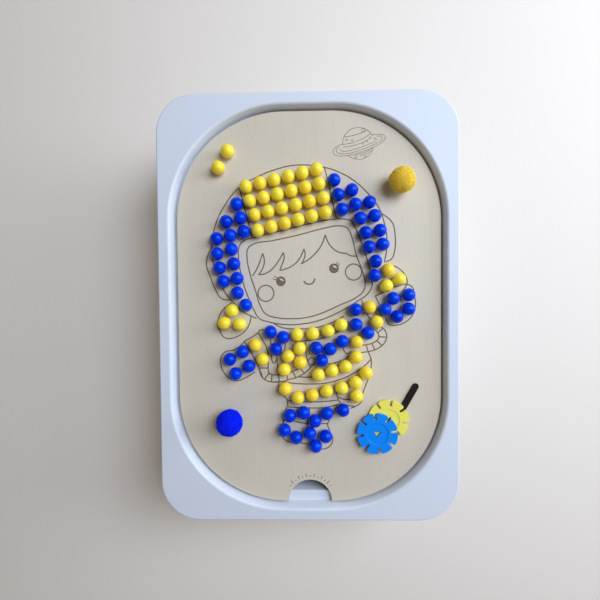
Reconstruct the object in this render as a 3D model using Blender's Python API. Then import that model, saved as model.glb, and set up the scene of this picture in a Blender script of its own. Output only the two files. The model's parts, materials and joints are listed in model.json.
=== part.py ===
"""Bead picture tray: a storage tray whose rim holds a wooden picture board, with
loose beads, pompoms, two connector discs and a stick laid out on the board.

Metres, +Z up. The tray stands on z = 0 with its centre on the Z axis; +Y runs along
its long side, towards the top of the picture, and +X to the picture's right.
"""
import math

import bmesh
import bpy
from mathutils import Matrix, Vector

MM = 0.001                      # places on the board are written in millimetres

# Tray: a thin-walled tray with a flat flange, a rim wall, a ledge and a deep bin
TRAY_WIDTH = 0.280
TRAY_LENGTH = 0.400
TRAY_HEIGHT = 0.100
TRAY_WALL = 0.0022
TRAY_CORNER = 0.037             # corner radius of the flange's outer edge
LIP_DEPTH = 0.009               # the flange's turned-down edge
LIP_ROUND = 0.0015
FLANGE_WIDTH = 0.0090           # its flat top
RIM_DEPTH = 0.0112              # from the flange down to the ledge
RIM_ROUND = 0.0025              # where the flange turns down into the opening
RIM_SLOPE = 12.0                # degrees, the rim wall from upright
RIM_SPREAD = 0.0042             # across, from the flat of the flange to the foot of the wall
OPENING_CORNER = 0.1072         # corner radius of the opening, where the flat ends
LEDGE_WIDTH = 0.0092
BIN_DRAFT = 0.0065
BIN_FLOOR_ROUND = 0.0060
EDGE_ROUND = 0.0010
CORNER_STEPS = 10               # segments in each corner of an outline
ROUND_STEPS = 2                 # segments in each rounded edge of the tray's wall

# Picture board: plywood with a half-round finger notch in its lower edge
BOARD_WIDTH = 0.2496
BOARD_LENGTH = 0.371
BOARD_THICKNESS = 0.0040
BOARD_CORNER = 0.1025
BOARD_X = 0.0009                # the board lies a little to the right in its play
NOTCH_RADIUS = 0.0205
NOTCH_STEPS = 16
GAP = 0.0003                    # between pieces that rest on each other

# Loose pieces
BEAD_RADIUS = 0.00615
LINK_RADIUS = 0.0010            # thin link that joins the beads of a string
LINK_START = 0.0032             # how far from a bead's centre its links start
YELLOW_POMPOM_RADIUS = 0.0125
BLUE_POMPOM_RADIUS = 0.0130
STICK_LENGTH = 0.060
STICK_WIDTH = 0.0062
STICK_THICKNESS = 0.0012
STICK_HEADING = 60.0            # degrees, from +X to the stick's free end
STICK_FREE_END = (101.2, -75.0)  # centre of its round end

# Connector discs
DISC_RADIUS = 0.0190
DISC_THICKNESS = 0.0022
DISC_SLOTS = 8
SLOT_WIDTH = 0.0024
SLOT_DEPTH = 0.0062
SLOT_MOUTH_ROUND = 0.0016
RECESS_RADIUS = 0.0101
RECESS_DEPTH = 0.0004
HOLE_POINT_RADIUS = 0.0042      # three-pointed hole: its points and the hollows between them
HOLE_HOLLOW_RADIUS = 0.0015
HOLE_TURN = 15.0                # degrees, from a slot to the nearest point of the hole
YELLOW_DISC_CENTRE = (75.3, -106.1)
BLUE_DISC_CENTRE = (64.4, -118.2)
YELLOW_DISC_TURN = 36.0
BLUE_DISC_TURN = 7.0

LEDGE_Z = TRAY_HEIGHT - RIM_DEPTH
BOARD_TOP = LEDGE_Z + GAP + BOARD_THICKNESS

COLOURS = {
    # name: (linear RGB, roughness)
    "white_plastic": ((0.80, 0.83, 0.88), 0.35),
    "plywood": ((0.62, 0.55, 0.45), 0.70),
    "yellow_bead": ((0.80, 0.55, 0.03), 0.30),
    "blue_bead": ((0.00, 0.01, 0.75), 0.20),
    "yellow_wool": ((0.85, 0.58, 0.08), 0.95),
    "blue_wool": ((0.01, 0.02, 0.65), 0.95),
    "yellow_disc": ((0.72, 0.68, 0.10), 0.40),
    "blue_disc": ((0.00, 0.27, 0.95), 0.40),
    "black_plastic": ((0.02, 0.016, 0.012), 0.55),
}


# ---------------------------------------------------------------- beads on the picture

def row(start, end, count):
    """Evenly spaced places from start to end."""
    a = Vector(start)
    step = (Vector(end) - a) / (count - 1)
    return [tuple(a + step * i) for i in range(count)]


BEAD_STRINGS = {
    # node: (material, places in millimetres on the board)
    "crown_beads_row_1": ("yellow_bead", row((-56.5, 113.4), (8.8, 128.2), 6)),
    "crown_beads_row_2": ("yellow_bead", row((-53.2, 100.2), (11.2, 114.9), 6)),
    "crown_beads_row_3": ("yellow_bead", row((-49.0, 87.2), (15.1, 102.0), 6)),
    "crown_beads_row_4": ("yellow_bead", row((-46.0, 73.0), (16.8, 88.6), 6)),
    "helmet_left_inner_beads": ("blue_bead", row((-65.4, 97.5), (-58.9, 71.8), 3)),
    "helmet_left_middle_beads": (
        "blue_bead",
        [(-75.4, 81.4), (-71.6, 68.6), (-70.7, 55.7), (-68.6, 42.1), (-65.7, 28.6)]
        + [(-65.7, 15.0), (-57.9, 3.6)],
    ),
    "helmet_left_outer_beads": (
        "blue_bead",
        [(-84.5, 65.7), (-84.3, 51.8), (-82.1, 38.6), (-78.6, 25.9)],
    ),
    "helmet_right_inner_beads": ("blue_bead", row((25.0, 118.3), (32.1, 91.3), 3)),
    "helmet_right_middle_beads": (
        "blue_bead",
        [(41.3, 108.9), (44.6, 95.8), (48.9, 82.9), (53.9, 69.6), (56.7, 56.4)]
        + [(62.9, 43.2), (61.8, 30.0)],
    ),
    "helmet_right_outer_beads": (
        "blue_bead",
        [(57.5, 97.6), (62.2, 85.2), (67.1, 71.6), (69.6, 58.8)],
    ),
    "pigtail_left_beads": ("yellow_bead", [(-78.2, -13.2), (-70.7, -1.4), (-63.9, -14.3)]),
    "pigtail_right_beads": ("yellow_bead", [(74.3, 35.0), (84.6, 26.4), (72.9, 20.5)]),
    "left_glove_beads": (
        "blue_bead",
        [(-61.4, -40.0), (-73.6, -47.1), (-68.2, -60.7), (-55.7, -53.6)],
    ),
    "left_cuff_beads": ("yellow_bead", [(-49.4, -33.9), (-42.9, -47.1)]),
    "right_glove_beads": (
        "blue_bead",
        [(71.2, -1.6), (78.9, 8.8), (93.2, 11.9), (93.2, -1.1), (82.3, -8.2)],
    ),
    "right_cuff_beads": ("yellow_bead", [(57.1, 0.6), (63.7, -13.0)]),
    "left_shoulder_beads": ("blue_bead", [(-35.2, -21.6), (-23.3, -26.7), (-30.3, -37.7)]),
    "right_shoulder_beads": ("blue_bead", [(44.2, -1.4), (44.6, -15.4), (55.4, -23.3)]),
    "collar_beads": ("yellow_bead", [(-10.4, -24.4), (4.3, -23.6), (18.6, -21.2), (30.7, -15.6)]),
    "vest_beads": ("yellow_bead", [(-8.1, -37.2), (-7.4, -50.4), (-19.0, -44.3), (-22.5, -56.9)]),
    "chest_beads": ("blue_bead", [(12.4, -48.8), (7.4, -37.0), (20.4, -38.0), (31.8, -31.0)]),
    "belt_beads": (
        "yellow_bead",
        [(45.0, -31.4), (44.3, -45.6), (34.4, -54.3), (22.0, -58.0), (9.3, -61.9)],
    ),
    "skirt_hem_beads": (
        "yellow_bead",
        [(-21.9, -75.0), (-10.0, -83.7), (3.5, -81.1), (16.9, -77.4), (31.0, -74.5)],
    ),
    "skirt_side_beads": ("yellow_bead", [(53.6, -60.5), (43.9, -69.5), (44.7, -82.4)]),
    "ankle_beads": (
        "blue_bead",
        [(-17.7, -100.4), (-4.9, -97.7), (5.9, -105.3), (17.0, -98.4), (31.9, -95.4)],
    ),
    "boot_beads": (
        "blue_bead",
        [(-22.9, -114.2), (-12.0, -121.1), (0.9, -117.2), (6.2, -129.2), (15.8, -120.0)],
    ),
    "loose_bead_1": ("yellow_bead", [(-73.4, 146.4)]),
    "loose_bead_2": ("yellow_bead", [(-82.2, 131.4)]),
}

YELLOW_POMPOM_PLACE = (85.6, 115.3)
BLUE_POMPOM_PLACE = (-73.1, -104.3)


# ---------------------------------------------------------------- helpers

def clear_scene():
    for thing in list(bpy.data.objects):
        bpy.data.objects.remove(thing, do_unlink=True)


def new_collection(name):
    collection = bpy.data.collections.new(name)
    bpy.context.scene.collection.children.link(collection)
    return collection


def make_material(name):
    colour, roughness = COLOURS[name]
    material = bpy.data.materials.new(name)
    material.use_nodes = True
    shader = material.node_tree.nodes["Principled BSDF"]
    shader.inputs["Base Color"].default_value = (*colour, 1.0)
    shader.inputs["Roughness"].default_value = roughness
    shader.inputs["Metallic"].default_value = 0.0
    return material


def add_mesh_object(name, mesh, material, collection):
    thing = bpy.data.objects.new(name, mesh)
    mesh.materials.clear()
    mesh.materials.append(material)
    mesh.shade_smooth()
    mesh.set_sharp_from_angle(angle=math.radians(35.0))
    collection.objects.link(thing)
    return thing


def mesh_from_bmesh(name, bm):
    mesh = bpy.data.meshes.new(name)
    bm.to_mesh(mesh)
    bm.free()
    return mesh


def plate_mesh(name, outlines, thickness):
    """A flat plate on z = 0..thickness from closed outlines; inner outlines are holes."""
    curve = bpy.data.curves.new(name, "CURVE")
    curve.dimensions = "2D"
    curve.fill_mode = "BOTH"
    curve.extrude = thickness / 2.0
    for outline in outlines:
        spline = curve.splines.new("POLY")
        spline.points.add(len(outline) - 1)
        for point, (x, y) in zip(spline.points, outline):
            point.co = (x, y, 0.0, 1.0)
        spline.use_cyclic_u = True
    holder = bpy.data.objects.new(name, curve)
    bpy.context.scene.collection.objects.link(holder)
    evaluated = holder.evaluated_get(bpy.context.evaluated_depsgraph_get())
    mesh = bpy.data.meshes.new_from_object(evaluated)
    bpy.data.objects.remove(holder, do_unlink=True)
    bm = bmesh.new()
    bm.from_mesh(mesh)
    bmesh.ops.remove_doubles(bm, verts=bm.verts, dist=0.00001)
    bmesh.ops.translate(bm, verts=bm.verts, vec=(0.0, 0.0, thickness / 2.0))
    bmesh.ops.recalc_face_normals(bm, faces=bm.faces)
    bm.to_mesh(mesh)
    bm.free()
    return mesh


def arc(centre, radius, start, end, steps):
    """Points on an arc, from start to end degrees, both ends included."""
    points = []
    for i in range(steps + 1):
        angle = math.radians(start + (end - start) * i / steps)
        points.append((centre[0] + radius * math.cos(angle), centre[1] + radius * math.sin(angle)))
    return points


def rounded_rectangle(half_x, half_y, corner, steps=CORNER_STEPS):
    """Outline of a rounded rectangle, anticlockwise from the middle right."""
    points = []
    for quadrant, (sx, sy) in enumerate(((1, 1), (-1, 1), (-1, -1), (1, -1))):
        centre = (sx * (half_x - corner), sy * (half_y - corner))
        points += arc(centre, corner, 90.0 * quadrant, 90.0 * (quadrant + 1), steps)
    return points


# ---------------------------------------------------------------- tray

def tray_section():
    """The tray's wall in section, as (inset from the outer edge, height, corner radius).

    It runs from the middle of the base, under the bin, ledge and flange, round the
    lip, then over the flange and down inside the bin to the floor.
    """
    top = TRAY_HEIGHT
    wall = TRAY_WALL
    e = EDGE_ROUND
    rim = FLANGE_WIDTH + RIM_ROUND
    ledge = FLANGE_WIDTH + RIM_SPREAD
    bin_top = ledge + LEDGE_WIDTH
    floor = bin_top + BIN_DRAFT
    floor_round = (floor + BIN_FLOOR_ROUND, wall + BIN_FLOOR_ROUND)
    ledge_round = (ledge + e, LEDGE_Z + e)

    below = arc(floor_round, BIN_FLOOR_ROUND + wall, 270.0, 180.0, ROUND_STEPS)
    below.append((bin_top - wall, LEDGE_Z - wall))
    below += arc(ledge_round, e + wall, 270.0, 180.0, ROUND_STEPS)
    below.append((rim - wall, top - wall))

    lip = [(wall, top - wall), (wall, top - LIP_DEPTH), (0.0, top - LIP_DEPTH)]
    lip += arc((LIP_ROUND, top - LIP_ROUND), LIP_ROUND, 180.0, 90.0, ROUND_STEPS)

    above = arc((FLANGE_WIDTH, top - RIM_ROUND), RIM_ROUND, 90.0, RIM_SLOPE, ROUND_STEPS + 1)
    above += arc(ledge_round, e, 180.0, 270.0, ROUND_STEPS)
    above += arc((bin_top - e, LEDGE_Z - e), e, 90.0, 0.0, ROUND_STEPS)
    above += arc(floor_round, BIN_FLOOR_ROUND, 180.0, 270.0, ROUND_STEPS)

    opening = OPENING_CORNER + FLANGE_WIDTH
    stations = [(inset, height, opening - inset) for inset, height in below]
    stations += [(inset, height, TRAY_CORNER - inset) for inset, height in lip]
    stations += [(inset, height, opening - inset) for inset, height in above]
    return stations


def build_tray(collection, material):
    bm = bmesh.new()
    rings = []
    for inset, height, corner in tray_section():
        outline = rounded_rectangle(TRAY_WIDTH / 2 - inset, TRAY_LENGTH / 2 - inset, corner)
        rings.append([bm.verts.new((x, y, height)) for x, y in outline])
    count = len(rings[0])
    for outer, inner in zip(rings, rings[1:]):
        for i in range(count):
            j = (i + 1) % count
            bm.faces.new((outer[i], outer[j], inner[j], inner[i]))
    bm.faces.new(rings[0])
    bm.faces.new(rings[-1])
    bmesh.ops.recalc_face_normals(bm, faces=bm.faces)
    return add_mesh_object("tray", mesh_from_bmesh("tray", bm), material, collection)


# ---------------------------------------------------------------- picture board

def board_outline():
    """Rounded rectangle with a half-round notch in the middle of the lower edge."""
    half_x = BOARD_WIDTH / 2
    half_y = BOARD_LENGTH / 2
    outline = rounded_rectangle(half_x, half_y, BOARD_CORNER)
    lower_edge = 3 * (CORNER_STEPS + 1)          # first point of the lower right corner
    notch = arc((0.0, -half_y), NOTCH_RADIUS, 180.0, 0.0, NOTCH_STEPS)
    return outline[:lower_edge] + notch + outline[lower_edge:]


def build_board(collection, material):
    mesh = plate_mesh("picture_board", [board_outline()], BOARD_THICKNESS)
    board = add_mesh_object("picture_board", mesh, material, collection)
    board.location = (BOARD_X, 0.0, BOARD_TOP - BOARD_THICKNESS)
    return board


# ---------------------------------------------------------------- loose pieces

def bead_centres(places):
    height = BOARD_TOP + GAP + BEAD_RADIUS
    return [Vector((x * MM, y * MM, height)) for x, y in places]


def balls_mesh(name, centres):
    bm = bmesh.new()
    for centre in centres:
        bmesh.ops.create_uvsphere(
            bm, u_segments=8, v_segments=4, radius=BEAD_RADIUS, matrix=Matrix.Translation(centre)
        )
    return mesh_from_bmesh(name, bm)


def links_mesh(name, centres):
    """A thin bar between each bead and the next, ending inside both."""
    bm = bmesh.new()
    for start, end in zip(centres, centres[1:]):
        middle = (start + end) / 2
        run = end - start
        turn = run.to_track_quat("Z", "Y").to_matrix().to_4x4()
        bmesh.ops.create_cone(
            bm,
            cap_ends=True,
            segments=5,
            radius1=LINK_RADIUS,
            radius2=LINK_RADIUS,
            depth=run.length - 2.0 * LINK_START,
            matrix=Matrix.Translation(middle) @ turn,
        )
    return mesh_from_bmesh(name, bm)


def build_bead_string(collection, cutters, name, material, places):
    """One node: the beads of one string, joined by thin links into one solid."""
    centres = bead_centres(places)
    string = add_mesh_object(name, balls_mesh(name, centres), material, collection)
    if len(centres) > 1:
        links = bpy.data.objects.new(name + "_links", links_mesh(name + "_links", centres))
        links.hide_render = True
        links.display_type = "WIRE"
        cutters.objects.link(links)
        join = string.modifiers.new("links", "BOOLEAN")
        join.operation = "UNION"
        join.object = links
    return string


def build_pompom(collection, name, material, place, radius):
    bm = bmesh.new()
    bmesh.ops.create_uvsphere(bm, u_segments=14, v_segments=9, radius=radius)
    pompom = add_mesh_object(name, mesh_from_bmesh(name, bm), material, collection)
    pompom.location = (place[0] * MM, place[1] * MM, BOARD_TOP + GAP + radius)
    return pompom


def stick_outline():
    half = STICK_WIDTH / 2
    reach = STICK_LENGTH / 2 - half
    return arc((reach, 0.0), half, -90.0, 90.0, 10) + arc((-reach, 0.0), half, 90.0, 270.0, 10)


def stick_direction():
    heading = math.radians(STICK_HEADING)
    return Vector((math.cos(heading), math.sin(heading), 0.0))


def build_stick(collection, material):
    mesh = plate_mesh("stick", [stick_outline()], STICK_THICKNESS)
    stick = add_mesh_object("stick", mesh, material, collection)
    free_end = Vector((STICK_FREE_END[0] * MM, STICK_FREE_END[1] * MM, BOARD_TOP + GAP))
    stick.location = free_end - stick_direction() * (STICK_LENGTH - STICK_WIDTH) / 2
    stick.rotation_euler = (0.0, 0.0, math.radians(STICK_HEADING))
    return stick


def disc_outline():
    """Round disc with radial slots; each slot has a round bottom and a flared mouth."""
    points = []
    half_slot = SLOT_WIDTH / 2
    mouth = half_slot + SLOT_MOUTH_ROUND
    bottom = DISC_RADIUS - SLOT_DEPTH + half_slot
    shoulder = math.sqrt((DISC_RADIUS - SLOT_MOUTH_ROUND) ** 2 - mouth ** 2)
    lean = math.degrees(math.asin(mouth / (DISC_RADIUS - SLOT_MOUTH_ROUND)))
    pitch = 360.0 / DISC_SLOTS
    for slot in range(DISC_SLOTS):
        # Drawn for a slot along +X, from its lower shoulder to the next one
        local = arc((shoulder, -mouth), SLOT_MOUTH_ROUND, -lean, 90.0, 3)
        local += arc((bottom, 0.0), half_slot, 270.0, 90.0, 4)
        local += arc((shoulder, mouth), SLOT_MOUTH_ROUND, -90.0, lean, 3)
        local += arc((0.0, 0.0), DISC_RADIUS, lean, pitch - lean, 4)[1:-1]
        turn = Matrix.Rotation(math.radians(slot * pitch), 2)
        points += [tuple(turn @ Vector(point)) for point in local]
    return points


def hole_outline():
    """Three-pointed star, its points turned from the slots."""
    points = []
    for corner in range(6):
        radius = HOLE_HOLLOW_RADIUS if corner % 2 else HOLE_POINT_RADIUS
        angle = math.radians(HOLE_TURN - 60.0 * corner)
        points.append((radius * math.cos(angle), radius * math.sin(angle)))
    return points


def disc_mesh(name, cutters):
    """Disc plate with a three-pointed hole in a round recess on each face."""
    mesh = plate_mesh(name, [disc_outline(), hole_outline()], DISC_THICKNESS)
    blank = bpy.data.objects.new(name + "_blank", mesh)
    cutters.objects.link(blank)
    for side, height in (("top", DISC_THICKNESS), ("bottom", 0.0)):
        bm = bmesh.new()
        bmesh.ops.create_cone(
            bm,
            cap_ends=True,
            segments=32,
            radius1=RECESS_RADIUS,
            radius2=RECESS_RADIUS,
            depth=2.0 * RECESS_DEPTH,
            matrix=Matrix.Translation((0.0, 0.0, height)),
        )
        cutter = bpy.data.objects.new(f"{name}_{side}_recess", mesh_from_bmesh(name, bm))
        cutter.hide_render = True
        cutter.display_type = "WIRE"
        cutters.objects.link(cutter)
        cut = blank.modifiers.new(side, "BOOLEAN")
        cut.operation = "DIFFERENCE"
        cut.object = cutter
    bpy.context.view_layer.update()
    evaluated = blank.evaluated_get(bpy.context.evaluated_depsgraph_get())
    finished = bpy.data.meshes.new_from_object(evaluated)
    bpy.data.objects.remove(blank, do_unlink=True)
    return finished


def build_discs(collection, cutters, yellow, blue):
    """The yellow disc lies across the stick and tips until its rim meets the board.

    It tips about the stick's upper edge; the blue disc lies on it at the same tilt.
    """
    along = stick_direction()
    across = Vector((-along.y, along.x, 0.0))
    free_end = Vector((STICK_FREE_END[0] * MM, STICK_FREE_END[1] * MM, 0.0))
    edge = free_end + across * STICK_WIDTH / 2
    lower_place = Vector((YELLOW_DISC_CENTRE[0] * MM, YELLOW_DISC_CENTRE[1] * MM, 0.0))
    reach = (lower_place - edge).dot(across) + DISC_RADIUS
    lean = Matrix.Rotation(-math.asin(STICK_THICKNESS / reach), 4, along)
    up = lean.to_3x3() @ Vector((0.0, 0.0, 1.0))
    edge.z = BOARD_TOP + 2.0 * GAP + STICK_THICKNESS
    layers = (
        ("yellow_disc", yellow, YELLOW_DISC_CENTRE, YELLOW_DISC_TURN, 0.0),
        ("blue_disc", blue, BLUE_DISC_CENTRE, BLUE_DISC_TURN, DISC_THICKNESS + GAP),
    )
    for name, material, centre, turn, lift in layers:
        offset = Vector((centre[0] * MM, centre[1] * MM, edge.z)) - edge
        offset.z = -(offset.x * up.x + offset.y * up.y) / up.z
        disc = add_mesh_object(name, disc_mesh(name, cutters), material, collection)
        disc.location = edge + offset + up * lift
        disc.rotation_euler = (lean @ Matrix.Rotation(math.radians(turn), 4, "Z")).to_euler()


# ---------------------------------------------------------------- assembly

def main():
    clear_scene()
    parts = new_collection("bead_picture_tray")
    cutters = new_collection("cutters")
    materials = {name: make_material(name) for name in COLOURS}
    build_tray(parts, materials["white_plastic"])
    build_board(parts, materials["plywood"])
    for name, (material, places) in BEAD_STRINGS.items():
        build_bead_string(parts, cutters, name, materials[material], places)
    build_pompom(
        parts, "yellow_pompom", materials["yellow_wool"], YELLOW_POMPOM_PLACE, YELLOW_POMPOM_RADIUS
    )
    build_pompom(
        parts, "blue_pompom", materials["blue_wool"], BLUE_POMPOM_PLACE, BLUE_POMPOM_RADIUS
    )
    build_stick(parts, materials["black_plastic"])
    build_discs(parts, cutters, materials["yellow_disc"], materials["blue_disc"])


main()
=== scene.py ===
"""Bead picture tray: the looks of every piece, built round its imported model.

Metres, +Z up, +Y towards the top of the picture. Places in the engraved picture are
in millimetres from the middle of the tray.
"""

import json
import math

import bmesh
import bpy
from mathutils import Matrix, Vector


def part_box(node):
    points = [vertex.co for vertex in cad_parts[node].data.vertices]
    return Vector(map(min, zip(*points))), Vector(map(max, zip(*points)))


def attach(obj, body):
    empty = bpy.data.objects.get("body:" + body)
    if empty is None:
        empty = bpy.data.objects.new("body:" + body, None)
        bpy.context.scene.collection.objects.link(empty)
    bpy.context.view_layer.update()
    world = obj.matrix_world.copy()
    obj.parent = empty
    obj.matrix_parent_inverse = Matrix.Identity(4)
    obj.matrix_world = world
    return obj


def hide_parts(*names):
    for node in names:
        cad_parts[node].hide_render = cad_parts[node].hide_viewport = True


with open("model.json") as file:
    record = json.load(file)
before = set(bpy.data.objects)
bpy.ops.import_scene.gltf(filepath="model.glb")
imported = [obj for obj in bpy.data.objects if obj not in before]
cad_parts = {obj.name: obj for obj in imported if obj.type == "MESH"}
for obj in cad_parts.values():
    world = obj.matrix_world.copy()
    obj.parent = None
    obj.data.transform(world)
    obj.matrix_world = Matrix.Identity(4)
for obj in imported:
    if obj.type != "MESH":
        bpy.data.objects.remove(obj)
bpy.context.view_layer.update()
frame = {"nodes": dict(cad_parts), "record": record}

MM = 0.001

# Tray section
TRAY_WALL = 0.0022
TRAY_CORNER = 0.037
LIP_DEPTH = 0.009
LIP_ROUND = 0.0015
FLANGE_WIDTH = 0.0090           # its flat top
RIM_DEPTH = 0.0112              # from the flange down to the ledge
RIM_ROUND = 0.0025              # where the flange turns down into the opening
RIM_SLOPE = 12.0                # degrees, the rim wall from upright
RIM_SPREAD = 0.0042             # across, from the flat of the flange to the foot of the wall
OPENING_CORNER = 0.1072
LEDGE_WIDTH = 0.0092
BIN_DRAFT = 0.0065
BIN_FLOOR_ROUND = 0.0060
EDGE_ROUND = 0.0010
TRAY_CORNER_STEPS = 40
TRAY_ROUND_STEPS = 5

# Picture board
BOARD_CORNER = 0.1025
NOTCH_RADIUS = 0.0205
BOARD_CORNER_STEPS = 40
NOTCH_STEPS = 48
BOARD_EDGE = 0.00035            # rounding of the board's edges
LINE_WIDTH = 0.00115
LINE_DEPTH = 0.00022

# Connector discs and stick
DISC_RADIUS = 0.0190
DISC_THICKNESS = 0.0022
DISC_SLOTS = 8
SLOT_WIDTH = 0.0024
SLOT_DEPTH = 0.0062
SLOT_MOUTH_ROUND = 0.0016
RECESS_RADIUS = 0.0101
RECESS_DEPTH = 0.0005
HOLE_POINT_RADIUS = 0.0042
HOLE_HOLLOW_RADIUS = 0.0015
HOLE_TURN = 15.0                # degrees
DISC_EDGE = 0.0003              # rounding of the discs' edges
DISC_TURN = {"yellow_disc": 36.0, "blue_disc": 7.0}
STICK_WIDTH = 0.0062
STICK_LENGTH = 0.060
STICK_HEADING = 60.0
STICK_EDGE = 0.0003
OUTLINE_BEND = 50.0             # degrees, sharper edges of a disc or stick are rounded

# Loose pieces
BEAD_SEGMENTS = 36
POMPOM_CORE = 0.89              # share of the radius
POMPOM_FIBRES = 2600
FIBRE_WIDTH = 0.00045
FIBRE_LEAN = 0.7
POMPOM_SEEDS = {"yellow_pompom": 3, "blue_pompom": 5}

# Studio
FLOOR_REACH = 4.0
DAYLIGHT = (0.735, 0.83, 1.0)
LIGHTS = {
    # name: (direction, distance, width, height, power)
    "overhead_softbox": ((0.49, 0.35, 0.79), 1.3, 0.7, 0.9, 17.3),
    "side_window": ((0.92, 0.23, 0.32), 2.1, 1.0, 1.0, 22.5),
}
LIGHT_AIM = (0.0, 0.0, 0.1)
WALL_SHADE = (0.58, 0.565, 0.54, 1.0)
CEILING_SHADE = (0.14, 0.115, 0.09, 1.0)
CAMERA_LENS = 19.5
CAMERA_SENSOR = 36.0
CAMERA_PLACE = (-0.00196, 0.01387, 0.4019)
CAMERA_TURN = (-1.135, 0.999, -0.498)


# ---------------------------------------------------------------- node trees

class Out:
    """An output socket of a node tree. Arithmetic on it adds Math nodes to that tree."""

    def __init__(self, tree, socket):
        self.tree = tree
        self.socket = socket

    def maths(self, operation, *values):
        return self.tree.add("ShaderNodeMath", {"operation": operation}, dict(enumerate(values)))

    def __add__(self, other):
        return self.maths("ADD", self, other)

    def __sub__(self, other):
        return self.maths("SUBTRACT", self, other)

    def __mul__(self, other):
        return self.maths("MULTIPLY", self, other)

    def __truediv__(self, other):
        return self.maths("DIVIDE", self, other)

    def __pow__(self, other):
        return self.maths("POWER", self, other)

    def __gt__(self, other):
        return self.maths("GREATER_THAN", self, other)

    def __lt__(self, other):
        return self.maths("LESS_THAN", self, other)

    def __rsub__(self, other):
        return self.maths("SUBTRACT", other, self)

    def __rtruediv__(self, other):
        return self.maths("DIVIDE", other, self)

    __radd__ = __add__
    __rmul__ = __mul__

    def absolute(self):
        return self.maths("ABSOLUTE", self)

    def between(self, low, high):
        """0 below low, 1 above high, and smooth in between."""
        return self.tree.add(
            "ShaderNodeMapRange",
            {"interpolation_type": "SMOOTHSTEP"},
            {"Value": self, "From Min": low, "From Max": high},
        )


class Tree:
    """Adds nodes to a shader or geometry node tree."""

    def __init__(self, tree):
        self.tree = tree

    def node(self, kind, settings=None, sockets=None):
        node = self.tree.nodes.new(kind)
        for name, value in (settings or {}).items():
            setattr(node, name, value)
        for name, value in (sockets or {}).items():
            if isinstance(value, Out):
                self.tree.links.new(value.socket, node.inputs[name])
            else:
                node.inputs[name].default_value = value
        return node

    def add(self, kind, settings=None, sockets=None, out=0):
        return Out(self, self.node(kind, settings, sockets).outputs[out])

    def random(self, seed, low=0.0, high=1.0):
        """A number of its own for each point or instance of a geometry tree."""
        sockets = {2: low, 3: high, "Seed": seed}
        return self.add("FunctionNodeRandomValue", {"data_type": "FLOAT"}, sockets, out=1)


class Shader(Tree):
    """A material's node tree, with its Principled BSDF and Object coordinates ready."""

    def __init__(self, name):
        self.material = bpy.data.materials.new(name)
        self.material.use_nodes = True
        super().__init__(self.material.node_tree)
        self.surface = self.tree.nodes["Principled BSDF"]
        self.place = self.add("ShaderNodeTexCoord", out="Object")
        self.height = None

    def stretched(self, x, y, z):
        """Object coordinates stretched by a factor along each axis."""
        return self.times(self.place, (x, y, z))

    def times(self, vector, factors):
        return self.add("ShaderNodeVectorMath", {"operation": "MULTIPLY"}, {0: vector, 1: factors})

    def noise(self, scale, detail=2.0, roughness=0.5, place=None, distortion=0.0):
        return self.add(
            "ShaderNodeTexNoise",
            None,
            {
                "Vector": place or self.place,
                "Scale": scale,
                "Detail": detail,
                "Roughness": roughness,
                "Distortion": distortion,
            },
        )

    def mix(self, first, second, factor):
        """Colour between first, at factor 0, and second, at factor 1."""
        return self.add(
            "ShaderNodeMix", {"data_type": "RGBA"}, {0: factor, 6: first, 7: second}, out=2
        )

    def bump(self, height, distance, strength=1.0):
        """Relief of height 0..1 times distance, over any relief added before."""
        sockets = {"Height": height, "Distance": distance, "Strength": strength}
        if self.height:
            sockets["Normal"] = self.height
        self.height = self.add("ShaderNodeBump", None, sockets)

    def finish(self, **sockets):
        if self.height:
            sockets["Normal"] = self.height
        for name, value in sockets.items():
            socket = self.surface.inputs[name.replace("_", " ")]
            if isinstance(value, Out):
                self.tree.links.new(value.socket, socket)
            else:
                socket.default_value = value
        return self.material


def colour(red, green, blue):
    return (red, green, blue, 1.0)


# ---------------------------------------------------------------- finishes

def tray_plastic():
    s = Shader("tray_plastic")
    cloud = s.noise(7.0, 3.0)
    grain = s.noise(900.0, 3.0, 0.6)
    speck = s.noise(260.0, 2.0).between(0.70, 0.78)
    white = s.mix(colour(0.672, 0.720, 0.775), colour(0.718, 0.758, 0.805), cloud)
    s.bump(grain, 0.00004, 0.35)
    s.bump(cloud, 0.0008, 0.25)
    return s.finish(
        Base_Color=s.mix(white, colour(0.57, 0.58, 0.57), speck * 0.35),
        Roughness=grain * 0.12 + speck * 0.12 + 0.42,
        Specular_IOR_Level=0.22,
    )


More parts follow.
